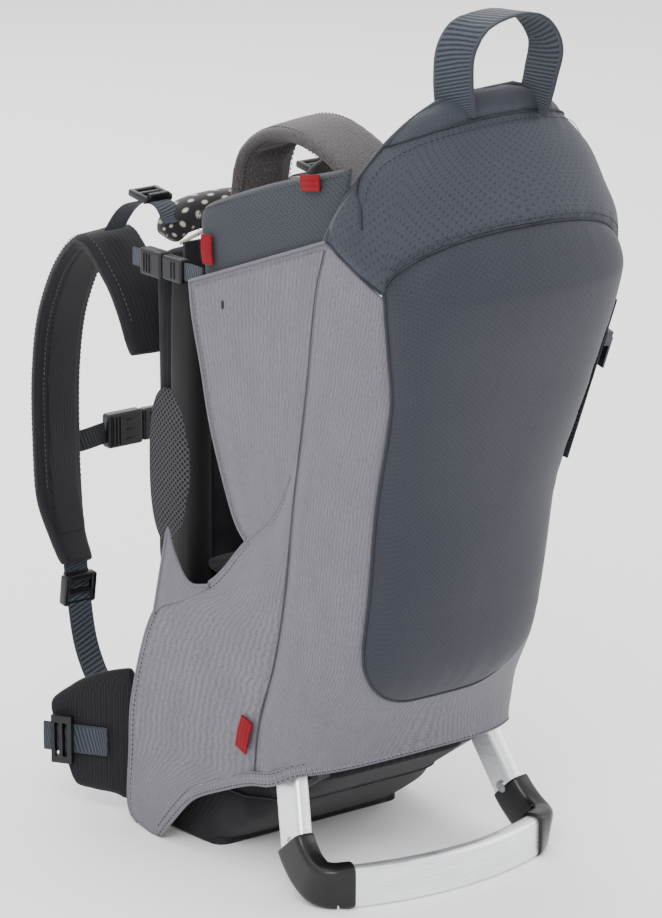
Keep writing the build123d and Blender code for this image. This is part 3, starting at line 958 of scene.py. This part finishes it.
harnessSetup = {"wide": 62, "thick": 12}
arch = [(20, 508), (19, 540), (8, 571), (-21, 590), (-57, 594), (-95, 583), (-126, 566), (-150, 548)]
for sideName, shift, drop, lean in (("left", -20, 0, 0.1), ("right", 46, 34, -0.1)):
    points = [(shift, y, z - drop) for y, z in arch]
    pad = bandShape("harnessBand_" + sideName, points, (1, 0, lean), harnessSetup["wide"],
                    harnessSetup["thick"], brownMelange, 90, 28, 5, 14)
    softened(pad, 4, 3, 4)
    standFor(pad, "harness_pad_" + sideName)
    rows = [bandLine(points, (1, 0, lean), edge, lift, 0.1, 0.9)
            for edge in (-24, 24) for lift in (-5.2, 5.2)]
    stitches = stitchRow("harnessStitches_" + sideName, rows, darkThread)
    rideWith(stitches, "harness_pad_" + sideName)
print("harness bands ready")

# seat and crotch strap

seatSetup = {"wide": 134, "thick": 14}
seatPad = bandShape("seatPad", [(-88, -48, 234), (0, -48, 231), (88, -48, 234)], (0, 1, 0), seatSetup["wide"],
                    seatSetup["thick"], padCloth, 50, 40, 6, 10)
softened(seatPad, 5, 4, 5)
standFor(seatPad, "seat")
crotchWeb = webStrap("crotchWeb", [(0, -27, 238), (0, -28, 262), (0, -27, 292)], (1, 0, 0), 25, 3,
                     darkWebbing, 30)
standFor(crotchWeb, "crotch_strap")

# wearer's back pad with mesh insets

backSetup = {"thick": 34, "wide": 190}
backPad = bandShape("backPadBlock", [(0, 60.5, 207), (0, 60.5, 350), (0, 60.5, 488)], (1, 0, 0),
                    backSetup["wide"], backSetup["thick"], padCloth, 90, 64, 5, 14)
softened(backPad, 5, 4, 4)
standFor(backPad, "back_pad")


def lensPad(name, centre, normal, tall, wide, deep, cloth):
    normal = Vector(normal)
    up = Vector((0, 0, 1))
    across = up.cross(normal).normalized()

    def place(u, v):
        r, t = v, math.tau * u
        x = math.copysign(abs(math.cos(t)) ** 0.8, math.cos(t)) * r * wide / 2
        z = math.copysign(abs(math.sin(t)) ** 0.8, math.sin(t)) * r * tall / 2
        return Vector(centre) + across * x + up * z + normal * deep * (1 - r ** 3)

    obj = gridSheet(name, 64, 16, place, cloth)
    span = obj.data.uv_layers[0].data
    for loop in obj.data.loops:
        co = obj.data.vertices[loop.vertex_index].co
        span[loop.index].uv = (co.dot(across), co.z)
    closeSeams(obj)
    faceAway(obj, Vector(centre) - normal * 30)
    return thicken(obj, 1.5)


for sideName, sign in sides:
    lens = lensPad("backSideMesh_" + sideName, (sign * 94.5, 46, 307), (sign, 0, 0), 134, 56, 4, spacerMesh)
    rideWith(lens, "back_pad")
    column = lensPad("backColumnMesh_" + sideName, (sign * 46, 77, 350), (0, 1, 0), 220, 62, 4, spacerMesh)
    rideWith(column, "back_pad")
centreWeb = webStrap("backCentreWeb", [(0, 79, 215), (0, 80, 350), (0, 79, 480)], (1, 0, 0), 20, 1.6,
                     darkWebbing, 40)
rideWith(centreWeb, "back_pad")

# black sleeves on the uprights of the frame

sleeveSetup = {"wide": 36, "thick": 24}
for sideName, sign in sides:
    upright = [(sign * 84, 31, 128), (sign * 84, 31, 300), (sign * 82, 31, 474)]
    sleeve = bandShape("frameSleeve_" + sideName, upright, (0, 1, 0), sleeveSetup["wide"],
                       sleeveSetup["thick"], blackLining, 60, 24, 4, 12)
    rideWith(sleeve, "back_frame_tube")

# chin pad with a band of dots

chinSetup = {"tall": 28, "deep": 30, "piping": 1.6}
chinPath = [
    (-84, 62, 494), (-70, 62, 508), (-40, 62, 512), (0, 62, 511), (40, 62, 512), (70, 62, 508), (84, 62, 494)]
pipingPath = [(-82, 46, 492), (-60, 45, 499), (0, 45, 500), (60, 45, 499), (82, 46, 492)]
chinPad = bandShape("chinPadRoll", chinPath, (0, 0.1, 1), chinSetup["tall"], chinSetup["deep"], spottedCloth,
                    70, 28, 3, 5)
standFor(chinPad, "chin_pad")
rideWith(roundCord("chinPiping", pipingPath, chinSetup["piping"], creamBinding), "chin_pad")
print("back pad ready")

# shoulder straps with webbing

strapSetup = {"x": 85, "wide": 60, "thick": 13, "panel": 5.8, "runner": 7}
strapPath = [
    (76, 396), (92, 430), (112, 456), (146, 479), (180, 455), (208, 405), (219, 350), (220, 290), (217, 245),
    (206, 212), (192, 190)]


def strapWidth(u):
    return strapSetup["wide"] - 20 * ease((u - 0.84) / 0.14)


for sideName, sign in sides:
    node = "shoulder_strap_" + sideName
    points = [(sign * strapSetup["x"], y, z) for y, z in strapPath]
    leans = [(sign, -0.2, 0), (sign, -0.42, 0)]
    strap = bandShape("shoulderPad_" + sideName, points, leans, strapWidth, strapSetup["thick"], darkCloth,
                      150, 28, 7, 18)
    facing = [bandLine(points, leans, edge, lift, 0.06, 0.84, 90) for edge in (-25, 25) for lift in (-6.4, 6.4)]
    rideWith(stitchRow("shoulderStitches_" + sideName, facing, seamThread), node)
    standFor(strap, node)
    inner = bandShape("shoulderPanel_" + sideName, points[1:-1], leans, 42, 3, padCloth, 130, 20, 7, 14,
                      offset=sign * strapSetup["panel"])
    rideWith(inner, node)
    for edge in (-1, 1):
        trim = bandLine(points, leans, edge * 29.8, 0, 0.03, 0.84, 90)
        binding = roundCord("shoulderBinding_%s_%d" % (sideName, edge + 2), trim, 1.6, darkWebbing)
        rideWith(binding, node)
    runner = bandShape("shoulderRunner_" + sideName, points[3:-1], leans, 20, 1.8, slateWebbing, 110, 14, 9, 50,
                       offset=-sign * strapSetup["runner"])
    rideWith(runner, node)
    print("strap", sideName, "ready")

# webbing below and above the shoulder straps, with its ladder buckles

lowPath = [(-85, 196, 200), (-85, 191, 165), (-84, 183, 123), (-85, 164, 96), (-85, 148, 92), (-85, 120, 92)]
topPath = [(-85, 133, 488), (-85, 116, 507), (-85, 98, 517), (-85, 66, 522), (-85, 50, 508)]
standPair("lowerStrapWeb", "strap_webbing",
          lambda name: webStrap(name, lowPath, (1, 0, 0), 24, 2, slateWebbing, 80))
standPair("loadLifterWeb", "load_lifters",
          lambda name: webStrap(name, topPath, (1, 0, 0), 20, 2, slateWebbing, 70))


def ladderLock(name, middle, tilt, wide, tall, thick):
    x, y, z = middle
    deep, half = thick / 2, wide / 2

    def bar(x0, x1, y0, y1, z0, z1, edge):
        return roundedBlock(name, (x + x0, y + y0, z + z0), (x + x1, y + y1, z + z1), edge, blackPlastic)

    parts = []
    for side in (-1, 1):
        rail = side * (half - 2.4)
        parts.append(bar(rail - 2.4, rail + 2.4, -deep, deep, -tall / 2, tall / 2, 1.6))
    for place, high in ((-0.44, 4.5), (-0.08, 4.2), (0.4, 6)):
        parts.append(bar(1 - half, half - 1, 0.6 - deep, deep - 0.6, place * tall - high / 2,
                         place * tall + high / 2, 1.4))
    parts.append(bar(4 - half, half - 4, deep - 2, deep + 2.5, tall * 0.38, tall * 0.56, 1.2))
    whole = joinAll(name, parts)
    pivot = Vector(middle) * mm
    turn = Matrix.Rotation(math.radians(tilt), 4, "X")
    whole.data.transform(Matrix.Translation(pivot) @ turn @ Matrix.Translation(-pivot))
    return whole


standPair("strapLadder", "strap_adjusters", lambda name: ladderLock(name, (-85, 191, 168), 8, 32, 26, 9))
standPair("lifterLadder", "lifter_buckles", lambda name: ladderLock(name, (-85, 82, 526), 98, 28, 24, 6))

# hip belt

hipSetup = {"tall": 106, "thick": 15}
belt = bandShape("hipBeltPad", [(-100, 90, 74), (0, 88.5, 74), (100, 90, 74)], (0, 0, 1), hipSetup["tall"],
                 hipSetup["thick"], padCloth, 70, 40, 7, 20)
softened(belt, 5, 4, 4)
standFor(belt, "hip_belt")
lumbar = lensPad("lumbarMesh", (0, 96, 92), (0, 1, 0), 66, 120, 13, spacerMesh)
standFor(lumbar, "hip_lumbar_pad")

# hip wings, which turn on the belt; along the wing, out from it, and up

wingTurn = Matrix.Rotation(math.radians(122), 4, "Z")
wingRoot = Vector((-108, 90, 0))


def wingAt(x, y, z, sign):
    p = wingTurn @ Vector((x, y, z)) + wingRoot
    return Vector((-sign * p.x, p.y, p.z))


for sideName, sign in sides:
    node = "hip_wing_" + sideName
    path = [wingAt(x, y, z, sign) for x, y, z in ((-10, -1, 71), (15, 0, 69), (38, 0, 63), (57, 0, 57))]
    pad = bandShape("hipWingPad_" + sideName, path, (0, 0, 1), lambda u: 116 - 40 * u ** 1.5, 13, padCloth,
                    60, 36, 9, 16)
    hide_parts(node)
    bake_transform(pad)
    path = [wingAt(x, y, 64.5, sign) for x, y in ((14, 8.9), (40, 8.9), (72, 8.7))]
    web = webStrap("hipWeb_" + sideName, path, (0, 0, 1), 25, 1.9, slateWebbing, 40)
    standFor(web, "hip_webbing_" + sideName)
print("hip belt ready")

# sternum strap

sternumSetup = {
    "y": 232, "left": ((-84, 285), (-56, 281), (-26, 284)), "right": ((30, 284), (60, 281), (104, 285))}
for sideName, sign in sides:
    path = [(x, sternumSetup["y"], z) for x, z in sternumSetup[sideName]]
    web = webStrap("sternumWeb_" + sideName, path, (0, 0, 1), 19, 2, darkWebbing, 40)
    standFor(web, "sternum_webbing_" + sideName)

# webbing and ribs of the side buckles and the sternum buckle

sideRuns = (
    [(-114, -28, 483), (-114, -16, 483.5), (-114, -3, 483)], [(-114, 50, 483), (-114, 58, 483), (-114, 66, 483)])
sideWebs = [webStrap("sideWeb", run, (0, 0, 1), 15, 2, slateWebbing, 24) for run in sideRuns]
sideWebLeft = joinAll("sideWeb", sideWebs)
standFor(joinAll("sideWeb", [sideWebLeft, mirrorCopy(sideWebLeft, "sideWebRight")]), "side_webbing")


def ribs(name, node, boxes):
    bars = [roundedBlock(name, low, high, 0.5, blackPlastic, 2) for low, high in boxes]
    return rideWith(joinAll(name, bars), node)


for sideName, sign in sides:
    lo, hi = sorted((sign * 107.1, sign * 120.9))
    ribs("sideSocketRibs_" + sideName, "side_socket_" + sideName,
         [((lo, y, 475), (hi, y + 1.6, 491)) for y in (36, 39.5, 43)])
    lo, hi = sorted((sign * 108.2, sign * 119.8))
    ribs("sideClipRibs_" + sideName, "side_clip_" + sideName,
         [((lo, y, 476), (hi, y + 1.6, 490)) for y in (4, 8)])
    lo, hi = sorted((sign * 68, sign * 84))
    ribs("sliderRibs_" + sideName, "sternum_slider_" + sideName,
         [((lo, 226.9, z), (hi, 237.9, z + 1.6)) for z in (274, 295)])
ribs("sternumSocketRibs", "sternum_socket",
     [((x, 225.2, 273), (x + 1.6, 238, 297)) for x in (-22, -18.5, -15)])
ribs("sternumSocketEdge", "sternum_socket",
     [((-8, 225.4, z), (6, 238, z + 1.4)) for z in (276, 284.3, 292.6)])
ribs("sternumClipRibs", "sternum_clip", [((x, 226.2, 274), (x + 1.6, 237.8, 296)) for x in (18, 22)])
print("buckles ready")

# zip beside the pouch

zipSetup = {"low": (91.5, -224, 345), "high": (109, -261, 480), "pitch": 3.0}
low, high = Vector(zipSetup["low"]), Vector(zipSetup["high"])
up = (high - low).normalized()
outward = Vector((1, 0, -up.x / up.z)).normalized()
acrossZip = up.cross(outward)
tapePath = [spot + outward * 0.8 for spot in (low, (low + high) / 2, high)]
tape = bandShape("zipTapeWeb", tapePath, acrossZip, 10.5, 1.3, slateWebbing, 50, 16, 9, 50)
count = int((high - low).length / zipSetup["pitch"])
teethRuns = []
for k in range(1, count):
    spot = low + up * k * zipSetup["pitch"] + outward * 1.9
    lean = 0.7 * (1 if k % 2 else -1)
    teethRuns.append([spot + acrossZip * (lean - 1.6), spot + acrossZip * (lean + 1.6)])
coil = stitchRow("zipTeeth", teethRuns, blackPlastic, 4, 3.2, 0.7)
standFor(tape, "zip_tape")
rideWith(coil, "zip_tape")

# red tabs

# both ends of each tab, how far out it is sewn, and its width
tabPlaces = (((-91, 111), (-100, 139), 127.0, 15), ((-42, 497), (-40, 521), 119.4, 14),
             ((-184, 588), (-161, 584), 119.4, 13))
tabs = []
for sideName, sign in sides:
    for first, last, x, wide in tabPlaces:
        ends = [Vector((sign * x, y, z)) for y, z in (first, last)]
        middle = (ends[0] + ends[1]) / 2 + Vector((sign * 0.9, 0, 0))
        along = (ends[1] - ends[0]).normalized()
        across = Vector((0, -along.z, along.y))
        tabs.append(webStrap("redTab", [ends[0], middle, ends[1]], across, wide, 2.2, redCloth, 24))
standFor(joinAll("redTabs", tabs), "sewn_tabs")
print("tabs ready")

# base cover

baseSetup = {"top": 113, "thick": 3}


def baseSpot(u, v, grow=0):
    z = 1 + (baseSetup["top"] - 1) * v
    rear = -20 - 112 * min(1, max(0, (z - 5) / 79)) ** 0.92
    front = 72 + 6 * ease(v)
    t = math.tau * u
    c, s = math.cos(t), math.sin(t)
    x = math.copysign(abs(c) ** (2 / 7), c)
    y = (front + rear) / 2 + math.copysign(abs(s) ** (2 / 6), s) * (front - rear) / 2
    wide = 97 - 10.5 * ease((-52 - y) / 22)
    fold = 1.2 * noise.noise(Vector((x * 3, y / 25, z / 25))) - 1.8 * math.exp(-((z - 58) / 5) ** 2)
    return Vector((x * (wide + fold + grow), y - s * -fold * 0.5, z))


base = gridSheet("baseCoverCloth", 140, 50, baseSpot, darkCloth)
closeSeams(base)
faceAway(base, (0, 0, 60))
thicken(base, baseSetup["thick"])
standFor(base, "base_cover")
ridge = [baseSpot(k / 120, 0.48, 0.6) for k in range(121)]
rideWith(roundCord("baseSeam", ridge, 1.1, darkThread), "base_cover")
print("base ready")

# moulded elbows of the stand

elbowSetup = {"wide": 37, "thick": 19}
elbowPath = [(-111, -141, 44), (-112, -149, 35), (-113, -160, 26), (-112.5, -173, 20), (-107, -183, 18.7),
             (-98, -188.5, 18.7), (-92, -191, 18.7)]
elbow = bandShape("standElbow_left", elbowPath, [(0, -0.9, 0.42), (0, 0, 1)], elbowSetup["wide"],
                  elbowSetup["thick"], satinBlack, 60, 36, 8, 30)
elbowTwin = mirrorCopy(elbow, "standElbow_right")
standFor(elbow, "stand_corner_left")
standFor(elbowTwin, "stand_corner_right")

# CAD nodes that stay, in better finishes

buckleNodes = ["hinge_brackets", "harness_buckle", "sternum_socket", "sternum_clip"]
for sideName, sign in sides:
    for name in ("hip_adjuster_", "sternum_slider_", "side_socket_", "side_clip_"):
        buckleNodes.append(name + sideName)
finishes = (
    (satinAluminium, ("back_frame_tube", "stand_leg_left", "stand_leg_right", "stand_bar")),
    (sheetPlastic, ("back_sheet", "base_tray")), (soleRubber, ("base_sole",)),
    (screwSteel, ("pivot_pins", "stand_screws")), (zipSteel, ("zip_slider", "zip_pull")),
    (blackPlastic, buckleNodes))
for material, nodeNames in finishes:
    for nodeName in nodeNames:
        for place in frame["nodes"][nodeName].material_slots:
            place.material = material
print("finishes set")
